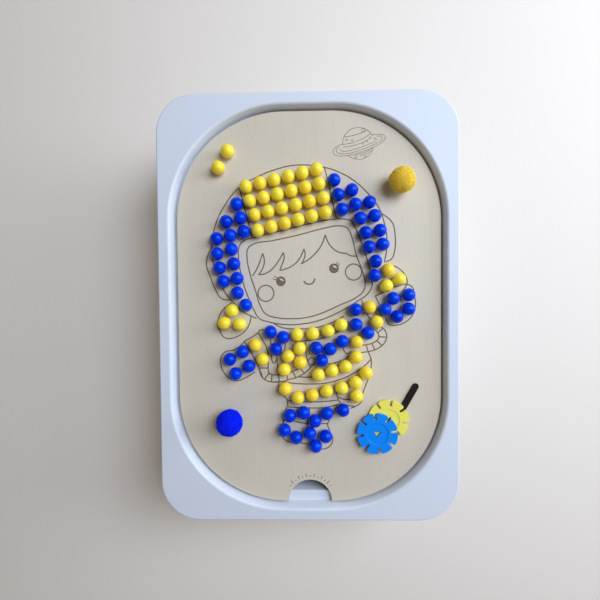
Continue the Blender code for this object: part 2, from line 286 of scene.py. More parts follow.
def board_plywood():
    s = Shader("board_plywood")
    normal = s.add("ShaderNodeNewGeometry", out="Normal")
    up = s.add("ShaderNodeSeparateXYZ", None, {0: normal}, out="Z")
    face = up.absolute().between(0.5, 0.75)
    height = s.add("ShaderNodeSeparateXYZ", None, {0: s.place}, out="Z")
    # Face veneer: fine streaks along the board, slow bands across it, short dark pores
    band = s.noise(1.0, 3.0, 0.55, s.stretched(34.0, 3.0, 34.0), 0.6)
    streak = s.noise(1.0, 4.0, 0.6, s.stretched(420.0, 9.0, 420.0))
    pore = s.noise(1.0, 2.0, 0.5, s.stretched(1500.0, 90.0, 1500.0)).between(0.66, 0.76)
    blotch = s.noise(9.0, 2.0)
    figure = streak * 0.45 + band * 0.55
    veneer = s.mix(colour(0.626, 0.553, 0.426), colour(0.736, 0.655, 0.514), figure)
    veneer = s.mix(veneer, colour(0.54, 0.458, 0.338), blotch.between(0.45, 0.85) * 0.35)
    veneer = s.mix(veneer, colour(0.32, 0.26, 0.18), pore * 0.30)
    # Sawn edge: three plies with thin glue lines, scorched by the cut
    low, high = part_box("picture_board")
    share = (height - low.z) / (high.z - low.z)
    fibre = s.noise(1.0, 3.0, 0.6, s.stretched(900.0, 900.0, 2600.0))
    core = (share - 0.5).absolute() < 0.2
    glue = ((share - 0.5).absolute() - 0.2).absolute().between(0.012, 0.03)
    edge = s.mix(colour(0.40, 0.29, 0.17), colour(0.24, 0.16, 0.09), core)
    edge = s.mix(edge, colour(0.16, 0.10, 0.055), fibre * 0.8)
    edge = s.mix(colour(0.07, 0.045, 0.025), edge, glue)
    s.bump(streak * face, 0.00003, 0.6)
    s.bump((1.0 - pore) * face, 0.00004, 0.5)
    s.bump(fibre * (1.0 - face), 0.00012, 0.8)
    return s.finish(
        Base_Color=s.mix(edge, veneer, face),
        Roughness=streak * 0.15 + 0.55,
        Specular_IOR_Level=0.35,
    )


def board_scorch():
    s = Shader("board_scorch")
    char = s.noise(1.0, 3.0, 0.6, s.stretched(700.0, 260.0, 700.0))
    s.bump(char, 0.00008, 0.8)
    return s.finish(
        Base_Color=s.mix(colour(0.103, 0.072, 0.042), colour(0.276, 0.200, 0.120), char),
        Roughness=char * 0.2 + 0.75,
        Specular_IOR_Level=0.2,
    )


def bead_plastic(name, pale, deep, roughness, glint):
    """Moulded bead: its own shade between pale and deep, faint swirls and small scuffs."""
    s = Shader(name)
    shade = s.add("ShaderNodeAttribute", {"attribute_name": "shade"}, out="Fac")
    swirl = s.noise(160.0, 3.0, 0.55, distortion=1.0)
    scuff = s.noise(1400.0, 2.0, 0.6).between(0.68, 0.80)
    s.bump(swirl, 0.00006, 0.35)
    s.bump(scuff, 0.00002, 0.5)
    return s.finish(
        Base_Color=s.mix(pale, deep, shade * 0.85 + swirl * 0.15),
        Roughness=scuff * 0.18 + swirl * 0.06 + roughness,
        Specular_Tint=glint,
        Specular_IOR_Level=0.6,
    )


def pompom_wool(name, pale, deep, sheen):
    """Yarn tuft: each fibre has its own shade, with painted shade that darkens it towards its root.
    """
    s = Shader(name)
    shade = s.add("ShaderNodeAttribute", {"attribute_name": "shade"}, out="Fac")
    tip = s.add("ShaderNodeAttribute", {"attribute_name": "tip"}, out="Fac")
    tuft = s.noise(260.0, 2.0)
    return s.finish(
        # Painted shade: deep colour at the fibre roots and core, pale at the tips; each fibre's own
        # tone and the tufts are real
        Base_Color=s.mix(deep, pale, tip * 0.55 + shade * 0.25 + tuft * 0.2),
        Roughness=0.9,
        Specular_IOR_Level=0.15,
        Sheen_Weight=sheen,
        Sheen_Tint=pale,
        Sheen_Roughness=0.5,
    )


def disc_plastic(name, pale, deep):
    s = Shader(name)
    flow = s.noise(90.0, 3.0, 0.55, distortion=0.8)
    grain = s.noise(2400.0, 2.0, 0.6)
    rub = s.noise(1.0, 3.0, 0.6, s.stretched(900.0, 120.0, 300.0)).between(0.60, 0.74)
    s.bump(grain, 0.00002, 0.6)
    s.bump(flow, 0.0001, 0.3)
    return s.finish(
        Base_Color=s.mix(pale, deep, flow),
        Roughness=grain * 0.1 + rub * 0.12 + 0.34,
        Specular_IOR_Level=0.3,
    )


def stick_black():
    s = Shader("stick_black")
    turned = s.add(
        "ShaderNodeMapping",
        {"vector_type": "TEXTURE"},
        {"Vector": s.place, "Rotation": (0.0, 0.0, math.radians(STICK_HEADING))},
    )
    grain = s.noise(1.0, 3.0, 0.6, s.times(turned, (60.0, 1500.0, 1500.0)))
    s.bump(grain, 0.00005, 0.6)
    return s.finish(
        Base_Color=s.mix(colour(0.008, 0.0065, 0.005), colour(0.020, 0.016, 0.012), grain),
        Roughness=grain * 0.2 + 0.6,
        Specular_IOR_Level=0.12,
    )


def floor_paint():
    s = Shader("floor_paint")
    cloud = s.noise(2.0, 3.0)
    return s.finish(
        Base_Color=s.mix(colour(0.86, 0.79, 0.69), colour(0.90, 0.82, 0.72), cloud),
        Roughness=0.85,
    )


# ---------------------------------------------------------------- mesh helpers

def arc(centre, radius, start, end, steps):
    """Points on an arc, from start to end degrees, both ends included."""
    turns = [math.radians(start + (end - start) * i / steps) for i in range(steps + 1)]
    return [(centre[0] + radius * math.cos(t), centre[1] + radius * math.sin(t)) for t in turns]


def rounded_rectangle(half_x, half_y, corner, steps):
    """Outline of a rounded rectangle, anticlockwise from the middle right."""
    points = []
    for quadrant, (sx, sy) in enumerate(((1, 1), (-1, 1), (-1, -1), (1, -1))):
        centre = (sx * (half_x - corner), sy * (half_y - corner))
        points += arc(centre, corner, 90.0 * quadrant, 90.0 * (quadrant + 1), steps)
    return points


def piece(name, mesh, *materials):
    thing = bpy.data.objects.new(name, mesh)
    mesh.materials.clear()
    for material in materials:
        mesh.materials.append(material)
    bpy.context.scene.collection.objects.link(thing)
    return thing


def smoothed(mesh, angle):
    """Smooth shading apart from edges sharper than the angle and from level faces."""
    mesh.shade_smooth()
    mesh.set_sharp_from_angle(angle=math.radians(angle))
    for face in mesh.polygons:
        face.use_smooth = abs(face.normal.z) < 0.9999
    return mesh


def settled(thing):
    """The object's evaluated mesh in place of its modifiers."""
    evaluated = thing.evaluated_get(bpy.context.evaluated_depsgraph_get())
    mesh = bpy.data.meshes.new_from_object(evaluated)
    thing.modifiers.clear()
    thing.data = mesh
    mesh.name = thing.name
    return thing


def rounded_edges(thing, width, segments, angle):
    """Rounds the edges sharper than the angle, in place of the object's mesh."""
    bevel = thing.modifiers.new("edge", "BEVEL")
    bevel.width = width
    bevel.segments = segments
    bevel.limit_method = "ANGLE"
    bevel.angle_limit = math.radians(angle)
    return settled(thing)


def flat_plate(name, outlines, thickness):
    """A plate on z = 0..thickness from closed outlines; inner outlines are holes."""
    curve = bpy.data.curves.new(name, "CURVE")
    curve.dimensions = "2D"
    curve.fill_mode = "BOTH"
    curve.extrude = thickness / 2.0
    for outline in outlines:
        spline = curve.splines.new("POLY")
        spline.points.add(len(outline) - 1)
        for point, (x, y) in zip(spline.points, outline):
            point.co = (x, y, 0.0, 1.0)
        spline.use_cyclic_u = True
    holder = bpy.data.objects.new(name, curve)
    bpy.context.scene.collection.objects.link(holder)
    evaluated = holder.evaluated_get(bpy.context.evaluated_depsgraph_get())
    mesh = bpy.data.meshes.new_from_object(evaluated)
    bpy.data.objects.remove(holder, do_unlink=True)
    bm = bmesh.new()
    bm.from_mesh(mesh)
    bmesh.ops.remove_doubles(bm, verts=bm.verts, dist=0.000001)
    bmesh.ops.translate(bm, verts=bm.verts, vec=(0.0, 0.0, thickness / 2.0))
    bmesh.ops.recalc_face_normals(bm, faces=bm.faces)
    bmesh.ops.dissolve_limit(bm, angle_limit=0.001, verts=bm.verts, edges=bm.edges)
    bm.to_mesh(mesh)
    bm.free()
    return mesh


def geometry_tree(name, *inputs):
    """A geometry node tree with the named inputs, given as (name, socket type, value)."""
    tree = bpy.data.node_groups.new(name, "GeometryNodeTree")
    tree.interface.new_socket("Geometry", in_out="INPUT", socket_type="NodeSocketGeometry")
    for label, kind, value in inputs:
        socket = tree.interface.new_socket(label, in_out="INPUT", socket_type="NodeSocket" + kind)
        if value is not None:
            socket.default_value = value
    tree.interface.new_socket("Geometry", in_out="OUTPUT", socket_type="NodeSocketGeometry")
    return Tree(tree)


def grown(thing, tree, **values):
    """Runs a geometry node tree on an object and keeps the mesh that it makes."""
    modifier = thing.modifiers.new("grow", "NODES")
    modifier.node_group = tree.tree
    sockets = {item.name: item.identifier for item in tree.tree.interface.items_tree}
    for name, value in values.items():
        modifier[sockets[name.replace("_", " ")]] = value
    return settled(thing)


# ---------------------------------------------------------------- tray

def tray_section():
    """The tray's wall in section, as (inset from the outer edge, height, corner radius)."""
    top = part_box("tray")[1].z
    wall = TRAY_WALL
    e = EDGE_ROUND
    rim = FLANGE_WIDTH + RIM_ROUND
    ledge = FLANGE_WIDTH + RIM_SPREAD
    ledge_z = top - RIM_DEPTH
    bin_top = ledge + LEDGE_WIDTH
    floor = bin_top + BIN_DRAFT
    floor_round = (floor + BIN_FLOOR_ROUND, wall + BIN_FLOOR_ROUND)
    ledge_round = (ledge + e, ledge_z + e)
    steps = TRAY_ROUND_STEPS

    below = arc(floor_round, BIN_FLOOR_ROUND + wall, 270.0, 180.0, steps)
    below += arc((bin_top - wall - e, ledge_z - wall - e), e, 0.0, 90.0, steps)
    below += arc(ledge_round, e + wall, 270.0, 180.0, steps)
    below += arc((rim - wall - e, top - wall - e), e, RIM_SLOPE, 90.0, steps)
    lip = arc((wall + e, top - wall - e), e, 90.0, 180.0, steps)
    lip += arc((wall / 2, top - LIP_DEPTH + wall / 2), wall / 2, 360.0, 180.0, steps)
    lip += arc((LIP_ROUND, top - LIP_ROUND), LIP_ROUND, 180.0, 90.0, steps)
    above = arc((FLANGE_WIDTH, top - RIM_ROUND), RIM_ROUND, 90.0, RIM_SLOPE, 2 * steps)
    above += arc(ledge_round, e, 180.0, 270.0, steps)
    above += arc((bin_top - e, ledge_z - e), e, 90.0, 0.0, steps)
    above += arc(floor_round, BIN_FLOOR_ROUND, 180.0, 270.0, steps)

    opening = OPENING_CORNER + FLANGE_WIDTH
    stations = [(inset, height, opening - inset) for inset, height in below]
    stations += [(inset, height, TRAY_CORNER - inset) for inset, height in lip]
    stations += [(inset, height, opening - inset) for inset, height in above]
    return stations


def make_tray(material):
    low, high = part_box("tray")
    bm = bmesh.new()
    rings = []
    for inset, height, corner in tray_section():
        outline = rounded_rectangle(high.x - inset, high.y - inset, corner, TRAY_CORNER_STEPS)
        rings.append([bm.verts.new((x, y, height)) for x, y in outline])
    count = len(rings[0])
    for outer, inner in zip(rings, rings[1:]):
        for i in range(count):
            j = (i + 1) % count
            bm.faces.new((outer[i], outer[j], inner[j], inner[i]))
    bm.faces.new(rings[0])
    bm.faces.new(rings[-1])
    bmesh.ops.recalc_face_normals(bm, faces=bm.faces)
    mesh = bpy.data.meshes.new("storage_tray")
    bm.to_mesh(mesh)
    bm.free()
    tray = piece("storage_tray", smoothed(mesh, 50.0), material)
    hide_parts("tray")
    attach(tray, "tray")


# ---------------------------------------------------------------- picture board

def ring(x, y, radius, squash=1.0, tilt=0.0, start=0.0, turn=360.0, count=10):
    """Points round a circle, or round an ellipse squashed across its tilt."""
    points = []
    for i in range(count if turn == 360.0 else count + 1):
        a = math.radians(start + turn * i / count)
        t = math.radians(tilt)
        u, v = radius * math.cos(a), radius * squash * math.sin(a)
        across = u * math.cos(t) - v * math.sin(t)
        along = u * math.sin(t) + v * math.cos(t)
        points.append((x + across, y + along))
    return points


def astronaut_lines():
    """The engraved picture: (share of the full line width, closed, points in millimetres)."""
    open_lines = [
        # Helmet, its lower left run and the two bands that hold the crown
        [(-91, 60), (-87.5, 79), (-80, 95), (-64, 115), (-50, 123), (-30, 131), (-10, 135),
         (16.3, 132.5), (30, 128), (42.5, 121), (57.5, 107.5), (67.5, 94), (72.5, 80),
         (75, 66), (74.4, 52.5), (72.5, 42.5)],
        [(-91, 60), (-90, 45), (-85, 30), (-80, 17.5), (-72.5, 7.5), (-62.5, -2.5), (-49, -9.5)],
        [(-63.8, 115), (-58.5, 92), (-52, 68)],
        [(16.8, 132.4), (22, 110), (27.5, 84.5)],
        # Ear pads
        [(-91, 60), (-96.3, 44), (-92.5, 30), (-87.5, 17.5), (-82.5, 10), (-72.5, 8)],
        [(70, 89), (80, 80), (82.5, 70), (82, 52.5), (79.4, 46), (73.8, 43)],
        # Fringe
        [(-52.5, 31), (-48.5, 37), (-45.5, 44), (-42.5, 52.5)],
        [(-42.5, 52.5), (-41, 46), (-42.3, 39), (-46.5, 32)],
        [(-46.5, 32), (-40, 33.2), (-33.5, 37.5), (-27.5, 45), (-22.8, 53)],
        [(-22.8, 53), (-22.2, 48), (-24, 42), (-26.5, 36)],
        [(-26.5, 36), (-20, 37.6), (-12, 42), (-7, 48), (-3.2, 56)],
        [(-3.2, 56), (-2.2, 51), (-3.6, 46), (-5.8, 42)],
        [(-5.8, 42), (2, 46.8), (9, 53.5), (13.5, 60), (17, 69)],
        [(17, 69), (20, 61.5), (24.5, 56), (30, 52.6), (37, 51.2), (41, 49.2), (46.3, 48.8)],
        # Bunches of hair
        [(-72.5, 6), (-81, -1), (-86, -12.5), (-84, -22), (-79, -28), (-70, -27.5), (-61, -22),
         (-56, -15), (-54, -7)],
        [(76, 40.6), (85, 37.5), (91.5, 31), (93.8, 22.5), (89, 15)],
        # Left glove, cuff and sleeve
        [(-61, -32), (-70, -39), (-81, -42.5), (-84, -51), (-81, -61), (-70, -69), (-60, -66),
         (-51, -60.6)],
        [(-61, -31), (-56, -40), (-50, -50), (-46, -60), (-43.5, -67)],
        [(-61, -31), (-54, -27.5), (-47.5, -23.2)],
        [(-47.5, -23.2), (-46, -20.8), (-42.5, -20.4), (-38, -23), (-36, -30), (-35, -42),
         (-34.6, -50), (-33, -52.4), (-31, -50), (-30, -46)],
        [(-47.5, -23.2), (-43.5, -30), (-39.5, -38), (-38.2, -46), (-38.5, -57)],
        # Hose on the left, in two long lines
        [(-47.2, -57), (-45.4, -64), (-42, -68), (-36, -70.2), (-27, -70.4), (-20, -68.6),
         (-9, -65.2), (0, -59), (5, -53.5)],
        [(-38.5, -57), (-37.4, -62), (-32, -63.6), (-24, -63.4), (-16, -60.5), (-8, -57),
         (-2, -51)],
        [(-47.2, -57), (-38.5, -57)], [(-42, -67.8), (-37.6, -61.8)],
        [(-35.4, -70.2), (-34.8, -63.4)], [(-28, -70.4), (-28.4, -63.6)],
        [(-20, -68.6), (-20.6, -62.6)], [(-12, -66.2), (-15.4, -60.2)], [(-4, -62), (-8, -57)],
        # Hose on the right
        [(68, -17.6), (72, -20.5), (74.4, -26), (73, -32.5), (67.5, -38), (60, -41.2),
         (50, -42.6)],
        [(62, -19.6), (66, -24), (67, -28.5), (63, -32.8), (55, -35.2), (48, -36)],
        [(65.8, -24), (70.6, -20.2)], [(67, -27.6), (73.8, -28.2)], [(65, -31.4), (70, -36)],
        [(60.4, -33.8), (63, -39.8)], [(55, -35.2), (57, -42)],
        # Right cuff and glove
        [(63.8, 11), (70, -2), (76, -16)],
        [(63.8, 11), (73, 15), (84, 20), (97, 20.5), (101, 10), (100, -5), (92, -14), (80, -17),
         (76, -16)],
        [(51, 7), (57, -8), (66, -21)],
        # Suit: sides, belt, skirt and hems
        [(57, -42), (59.6, -49), (59.6, -57), (57.5, -66), (54, -75), (51.4, -82), (50, -90),
         (44.5, -94.2), (40, -96)],
        [(59.6, -49), (55, -54), (47, -60)],
        [(-30, -46), (-29.4, -55), (-28.4, -64), (-28, -70)],
        [(-21.4, -33), (-23.6, -41), (-30, -46)],
        [(-33, -70.4), (-28, -70), (-12, -72), (2, -72.5), (16, -71.8), (28, -69), (38, -65),
         (47, -60)],
        [(-10, -65.6), (3, -65.8), (14, -63)],
        [(18, -53.4), (25, -52.4), (32, -50), (38, -47), (43, -42.6)],
        [(-28, -70), (-28.6, -77), (-24, -83.5), (-20.6, -87.5), (-20, -94.4)],
        [(-20.2, -88.4), (-4, -89.6), (10, -89.6), (20, -89), (28, -88)],
        [(-20, -94.4), (-8, -95.2), (5, -95.6), (16, -95), (29, -92)],
        [(26.6, -74), (27.2, -84), (30, -91)],
        [(28, -85.4), (36, -87.6), (46, -86)], [(30, -91), (38, -93.4), (44.5, -94.2)],
        # Collar, front seam, pocket and gauge
        [(-34, -13.4), (-28, -17), (-22, -19), (-10, -19.8), (5, -19), (20, -15), (34, -8)],
        [(-13, -32), (-3, -31), (10, -29.5), (26, -24), (38, -14)],
        [(-2.4, -31), (-2, -44), (-0.6, -50), (2, -56.6)],
        [(33, -37), (34.4, -41.6), (37.4, -43.6), (40.8, -41)],
        [(0, -51), (1.6, -47.6), (4.6, -47.4), (6.6, -50.4), (5, -54), (1.6, -54)],
        # Boots
        [(-21, -94), (-24, -108), (-27, -118), (-22, -127), (-10, -129), (0, -130.5),
         (8, -134), (15, -135), (21, -131), (22.8, -125), (20, -117.5), (18, -111), (22, -104),
         (27, -93.5)],
        [(-23.5, -105), (-12.5, -108.5), (0, -110.6), (17.8, -110.6)],
        [(1, -94.5), (0, -102), (-1.5, -110.6), (0, -122), (0, -130.5)],
    ]
    closed_lines = [
        # Visor, outer and inner edge
        [(-65.6, 50), (-65, 58.7), (-61, 64), (-50, 67.5), (-25, 73.5), (-2.5, 78.8), (15, 82.4),
         (33, 83.9), (41.3, 82), (46, 74), (51, 62), (55, 50), (60, 32), (61, 22), (57.5, 14),
         (45, 5), (30, -3.8), (10, -12), (-5, -15), (-20, -15.6), (-37.5, -12.8), (-46.3, -9.5),
         (-51.5, -1.3), (-56, 9), (-60, 20), (-64, 36)],
        [(-57.5, 50), (-56.5, 57), (-52.5, 60.6), (-32, 64.5), (-10, 69), (15, 75.2), (30, 77.5),
         (37.5, 75.6), (41.3, 69), (46.3, 49.5), (52, 34), (54.4, 22.5), (52.5, 15.5), (46.3, 10),
         (30, 2.5), (10, -6), (-2, -9), (-15, -10), (-30, -8.8), (-40, -5.4), (-45, 2), (-50, 18),
         (-55, 34)],
        # Cheeks
        ring(-39.8, 14.4, 7.6), ring(43.5, 33.8, 7.6),
    ]
    eyes = [(-25.5, 25.7), (25.0, 37.5)]
    lashes = [
        [(-28.6, 29), (-30.4, 29.6), (-31.6, 30.8)], [(-29.6, 27.4), (-31.4, 27.4), (-32.8, 28.2)],
        [(27.4, 41.2), (27.9, 42.5), (27.8, 43.8)], [(28.8, 39.6), (29.6, 41), (30, 42.6)],
    ]
    smile = [(-3.8, 25.8), (-1.6, 23.4), (1.6, 22.7), (4.9, 24), (7, 28.2)]
    planet = [
        # Round body, hidden where the ring passes in front
        [(34, 153), (34.2, 157), (35.4, 161), (38, 164.6), (42, 167.6), (47, 168.9), (52, 168.7),
         (56.5, 167), (60, 164), (62, 160.6)],
        [(39.5, 143), (43, 140.7), (47.5, 139.6), (52, 139.7), (56.6, 141.6), (60, 144.4),
         (62, 148), (62.6, 151)],
        # Ring: outer, middle and inner edge
        [(61.6, 162.2), (67, 162.5), (72, 161.8), (74, 159.6), (72.6, 156.8), (68, 153.2),
         (62, 150.4), (54, 147.2), (45, 144.6), (36, 143), (29, 143.1), (25.4, 145), (25, 148),
         (27.4, 151), (31, 153.2), (34, 154)],
        [(66, 160.8), (70.4, 160.2), (70.6, 157.8), (67, 155), (61.6, 152.3), (54, 149.2),
         (45, 146.4), (37, 145), (30.6, 145.4), (28, 147.4), (28.4, 149.6), (31, 151.6)],
        [(62.6, 158.8), (65.4, 158.4), (64.6, 156.4), (60, 154.2), (53, 151.4), (45, 148.8),
         (38, 147.4), (33, 147.6), (31.6, 149.2)],
        # Bands across the body
        [(35.4, 160.6), (42, 161.4), (50, 163.6), (57, 166.2)],
        [(45.4, 156.2), (50, 157.6), (55.6, 160.2), (60, 163.4)],
        [(34.4, 153.6), (40, 154.4), (45, 155.6)],
        [(34.6, 151.2), (41, 151.8), (47, 153.2), (53, 155.4), (58, 157.8)],
        [(44, 143.2), (50, 144.4), (57, 147), (62, 149.4)],
        [(50, 142.6), (56, 144.6), (61, 147.4)],
    ]
    craters = [
        ring(37.6, 157.8, 1.4, 0.7, 10.0, count=6), ring(43, 157.2, 0.9, count=6),
        ring(56.8, 156.2, 0.9, count=6), ring(52.8, 154, 0.7, count=6),
        ring(53, 166.6, 1.7, 0.8, 60.0, count=6), ring(46.4, 141.4, 1.2, 0.7, 15.0, count=6),
        ring(59.4, 159.4, 1.0, count=6), ring(55, 141.8, 1.3, 0.7, 30.0, count=6),
    ]
    lines = [(1.0, False, line) for line in open_lines]
    lines += [(1.0, True, line) for line in closed_lines]
    for x, y in eyes:
        # A dark round eye, with a gap that leaves a glint
        lines.append((1.6, True, ring(x, y, 3.7, count=10)))
        lines.append((2.4, False, ring(x, y, 1.5, start=105, turn=270, count=8)))
    lines.append((1.2, False, smile))
    lines += [(0.7, False, line) for line in lashes]
    lines += [(0.40, False, line) for line in planet]
    lines += [(0.36, True, line) for line in craters]
    # A plain row of dots and small strokes over the finger notch
    low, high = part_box("picture_board")
    middle = (low.x + high.x) / 2 / MM
    inner = NOTCH_RADIUS / MM + 3.0
    for i in range(13):
        turn = math.radians(38.0 + 104.0 * i / 12)
        outer = inner + (3.4 if i % 2 else 1.4)
        ends = [
            (middle + r * math.cos(turn), low.y / MM + r * math.sin(turn))
            for r in (inner, (inner + outer) / 2, outer)
        ]
        lines.append((0.6, False, ends))
    return lines


def picture_lines():
    """The engraved lines as one curve on the board's upper face."""
    curve = bpy.data.curves.new("picture_lines", "CURVE")
    curve.dimensions = "3D"
    curve.resolution_u = 8
    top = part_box("picture_board")[1].z
    for width, closed, points in astronaut_lines():
        spline = curve.splines.new("BEZIER")
        spline.bezier_points.add(len(points) - 1)
        for point, (x, y) in zip(spline.bezier_points, points):
            point.co = (x * MM, y * MM, top)
            point.handle_left_type = point.handle_right_type = "AUTO"
            point.radius = width
        spline.use_cyclic_u = closed
    lines = bpy.data.objects.new("picture_lines", curve)
    bpy.context.scene.collection.objects.link(lines)
    return lines


def engraving_tree():
    """Cuts a groove along every line: plywood outside, scorched wood inside the groove."""
    t = geometry_tree(
        "engraving",
        ("Lines", "Object", None),
        ("Line Width", "Float", LINE_WIDTH),
        ("Line Depth", "Float", LINE_DEPTH),
        ("Step", "Float", 0.0012),
        ("Plywood", "Material", None),
        ("Scorch", "Material", None),
    )
    given = t.node("NodeGroupInput")
    read = {socket.name: Out(t, socket) for socket in given.outputs}
    lines = t.add(
        "GeometryNodeObjectInfo",
        {"transform_space": "RELATIVE"},
        {"Object": read["Lines"]},
        "Geometry",
    )
    fine = t.add(
        "GeometryNodeResampleCurve", {"mode": "LENGTH"}, {"Curve": lines, "Length": read["Step"]}
    )
    level = t.add("GeometryNodeSetCurveNormal", {"mode": "Z_UP"}, {"Curve": fine})
    blade = t.add(
        "GeometryNodeCurvePrimitiveQuadrilateral",
        None,
        {"Width": read["Line Width"], "Height": read["Line Depth"] * 2.0},
    )
    width = t.add("GeometryNodeInputRadius")
    cutter = t.add(
        "GeometryNodeCurveToMesh",
        None,
        {"Curve": level, "Profile Curve": blade, "Scale": width, "Fill Caps": True},
    )
    # Every groove has the same depth, whatever its width
    place = t.add("GeometryNodeInputPosition")
    parts = t.node("ShaderNodeSeparateXYZ", None, {0: place})
    x, y, z = (Out(t, socket) for socket in parts.outputs)
    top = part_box("picture_board")[1].z
    side = (z > top) * 2.0 - 1.0
    held = t.add("ShaderNodeCombineXYZ", None, {0: x, 1: y, 2: side * read["Line Depth"] + top})
    cutter = t.add("GeometryNodeSetPosition", None, {"Geometry": cutter, "Position": held})
    cutter = t.add(
        "GeometryNodeStoreNamedAttribute",
        {"data_type": "FLOAT", "domain": "FACE"},
        {"Geometry": cutter, "Name": "scorched", "Value": 1.0},
    )
    cut = t.add(
        "GeometryNodeMeshBoolean",
        {"operation": "DIFFERENCE", "solver": "EXACT"},
        {"Mesh 1": read["Geometry"], "Mesh 2": cutter, "Self Intersection": True},
    )
    solid = t.add("GeometryNodeRealizeInstances", None, {"Geometry": cut})
    wood = t.add("GeometryNodeSetMaterial", None, {"Geometry": solid, "Material": read["Plywood"]})
    groove = t.add(
        "GeometryNodeInputNamedAttribute", {"data_type": "FLOAT"}, {"Name": "scorched"}, "Attribute"
    )
    done = t.add(
        "GeometryNodeSetMaterial",
        None,
        {"Geometry": wood, "Selection": groove > 0.5, "Material": read["Scorch"]},
    )
    t.node("NodeGroupOutput", None, {0: done})
    return t


def board_outline():
    """Rounded rectangle with a half-round notch in the middle of the lower edge."""
    low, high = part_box("picture_board")
    half_x, half_y = (high.x - low.x) / 2, (high.y - low.y) / 2
    outline = rounded_rectangle(half_x, half_y, BOARD_CORNER, BOARD_CORNER_STEPS)
    lower_right = 3 * (BOARD_CORNER_STEPS + 1)
    notch = arc((0.0, -half_y), NOTCH_RADIUS, 180.0, 0.0, NOTCH_STEPS)
    return outline[:lower_right] + notch + outline[lower_right:]


def make_board(plywood, scorch):
    low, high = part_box("picture_board")
    mesh = flat_plate("plywood_board", [board_outline()], high.z - low.z)
    mesh.transform(Matrix.Translation(((low.x + high.x) / 2, (low.y + high.y) / 2, low.z)))
    board = piece("plywood_board", mesh, plywood, scorch)
    rounded_edges(board, BOARD_EDGE, 2, 60.0)
    lines = picture_lines()
    grown(board, engraving_tree(), Lines=lines, Plywood=plywood, Scorch=scorch)
    bpy.data.objects.remove(lines, do_unlink=True)
    smoothed(board.data, 30.0)
    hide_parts("picture_board")
    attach(board, "picture_board")


# ---------------------------------------------------------------- beads

def bead_places(node):
    """The centres of a string's beads, from the top pole of each ball in its solid."""
    low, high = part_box(node)
    radius = (high.z - low.z) / 2
    tops = {
        (round(v.co.x, 5), round(v.co.y, 5))
        for v in frame["nodes"][node].data.vertices
        if v.co.z > high.z - 0.00001
    }
    return [(x, y, high.z - radius) for x, y in sorted(tops)], radius


def bead_tree():
    """A ball at each point, turned its own way and with its own shade."""
    t = geometry_tree(
        "beads",
        ("Radius", "Float", 0.006),
        ("Segments", "Int", BEAD_SEGMENTS),
        ("Seed", "Int", 1),
        ("Material", "Material", None),
    )
    given = t.node("NodeGroupInput")
    read = {socket.name: Out(t, socket) for socket in given.outputs}
    ball = t.add(
        "GeometryNodeMeshUVSphere",
        None,
        {"Segments": read["Segments"], "Rings": read["Segments"] * 0.5, "Radius": read["Radius"]},
    )
    turn = t.add(
        "FunctionNodeRandomValue",
        {"data_type": "FLOAT_VECTOR"},
        {"Min": (0.0,) * 3, "Max": (6.283,) * 3, "Seed": read["Seed"]},
    )
    placed = t.add(
        "GeometryNodeInstanceOnPoints",
        None,
        {"Points": read["Geometry"], "Instance": ball, "Rotation": turn},
    )
    shade = t.random(read["Seed"] + 7.0)
    shaded = t.add(
        "GeometryNodeStoreNamedAttribute",
        {"data_type": "FLOAT", "domain": "INSTANCE"},
        {"Geometry": placed, "Name": "shade", "Value": shade ** 1.6},
    )
    solid = t.add("GeometryNodeRealizeInstances", None, {"Geometry": shaded})
    smooth = t.add("GeometryNodeSetShadeSmooth", None, {"Geometry": solid, "Shade Smooth": True})
    done = t.add(
        "GeometryNodeSetMaterial", None, {"Geometry": smooth, "Material": read["Material"]}
    )
    t.node("NodeGroupOutput", None, {0: done})
    return t


def make_beads(node, body, tree, material, seed):
    places, radius = bead_places(node)
    name = node.replace("_beads", "") + "_balls"
    mesh = bpy.data.meshes.new(name)
    mesh.from_pydata(places, [], [])
    beads = piece(name, mesh, material)
    grown(beads, tree, Radius=radius, Seed=seed, Material=material)
    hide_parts(node)
    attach(beads, body)


# ---------------------------------------------------------------- pompoms

